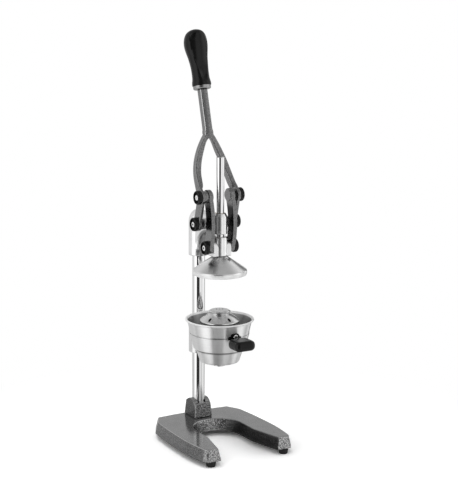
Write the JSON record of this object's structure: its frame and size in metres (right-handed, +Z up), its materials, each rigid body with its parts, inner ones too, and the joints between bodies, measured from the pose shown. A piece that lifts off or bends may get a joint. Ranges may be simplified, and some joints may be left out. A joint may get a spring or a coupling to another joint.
{
  "type": "lever citrus juice press",
  "caption": "Upright lever citrus press: a forked lever and links push a ram and cone down a chrome rod onto a reamer in a lift-out strainer bowl over a juice funnel.",
  "frame": {"origin": "on the floor under the middle of the plan bounding box", "axes": "+Z up, the front of the press with the bowl handle and the open end of the base towards -Y, +X to the viewer's right when the viewer faces the front"},
  "size_m": [0.208, 0.2398, 0.7928],
  "materials": {
    "painted_frame": "grey hammertone enamel, semi gloss, finely mottled",
    "chromed_steel": "bright chrome plate",
    "polished_casting": "polished casting",
    "brushed_sheet": "brushed stainless",
    "satin_casting": "satin, fine turning marks",
    "black_plastic": "black, fine grain, slight sheen",
    "black_rubber": "matt black",
    "bush_bronze": "turned bearing bronze",
    "fastener_steel": "plated steel"
  },
  "bodies": {
    "stand": {"base_casting": "painted_frame", "foot_front_left": "black_rubber", "foot_front_right": "black_rubber", "foot_rear_left": "black_rubber", "foot_rear_right": "black_rubber", "foot_screw_front_left": "fastener_steel", "foot_screw_front_right": "fastener_steel", "foot_screw_rear_left": "fastener_steel", "foot_screw_rear_right": "fastener_steel", "column_socket": "painted_frame", "socket_bolt_left": "fastener_steel", "socket_bolt_right": "fastener_steel", "socket_set_screw": "fastener_steel", "column_tube": "chromed_steel", "bowl_bracket": "brushed_sheet", "bracket_clamp_screw": "fastener_steel", "head_casting": "polished_casting", "head_set_screw_lower": "fastener_steel", "head_set_screw_upper": "fastener_steel", "guide_bush_upper": "bush_bronze", "guide_bush_lower": "bush_bronze", "fulcrum_axle": "fastener_steel", "fulcrum_cap_left": "black_plastic", "fulcrum_cap_right": "black_plastic", "fulcrum_bolt_left": "fastener_steel", "fulcrum_bolt_right": "fastener_steel", "juice_funnel": "brushed_sheet"},
    "lever": {"lever_fork": "painted_frame", "grip_collar": "polished_casting", "lever_grip": "black_plastic", "crank_pin_left": "fastener_steel", "crank_pin_right": "fastener_steel", "crank_spacer_left": "painted_frame", "crank_spacer_right": "painted_frame", "crank_cap_left": "black_plastic", "crank_cap_right": "black_plastic", "crank_bolt_left": "fastener_steel", "crank_bolt_right": "fastener_steel"},
    "links": {"link_left": "painted_frame", "link_right": "painted_frame", "link_pin_left": "fastener_steel", "link_pin_right": "fastener_steel", "link_cap_left": "black_plastic", "link_cap_right": "black_plastic", "link_bolt_left": "fastener_steel", "link_bolt_right": "fastener_steel"},
    "ram": {"ram_rod": "chromed_steel", "crosshead": "polished_casting", "press_cone": "satin_casting", "cone_washer": "fastener_steel", "cone_nut": "fastener_steel"},
    "bowl": {"strainer_bowl": "brushed_sheet", "strainer_disc": "brushed_sheet", "reamer_cone": "satin_casting", "handle_tab": "black_plastic", "handle_grip": "black_plastic", "handle_bolt": "fastener_steel"}
  },
  "joints": [
    {"name": "lever_pull", "type": "hinge", "parent": "stand", "child": "lever", "pos_m": [0, 0.01741, 0.4327], "axis": [1, 0, 0], "range_deg": [0, 120]},
    {"name": "link_swing", "type": "hinge", "parent": "lever", "child": "links", "pos_m": [0, 0.00341, 0.4857], "axis": [1, 0, 0], "range_deg": [-105.2, 0]},
    {"name": "ram_slide", "type": "slide", "parent": "stand", "child": "ram", "axis": [0, 0, -1], "range_m": [0, 0.08929]},
    {"name": "bowl_turn", "type": "hinge", "parent": "stand", "child": "bowl", "pos_m": [0, -0.00089, 0.2238], "axis": [0, 0, 1], "range_deg": [-120, 120]}
  ],
  "couplings": [
    {"joint": "link_swing", "follows": "lever_pull", "ratio": -0.87622},
    {"joint": "ram_slide", "follows": "lever_pull", "m_per_rad": 0.042608}
  ]
}
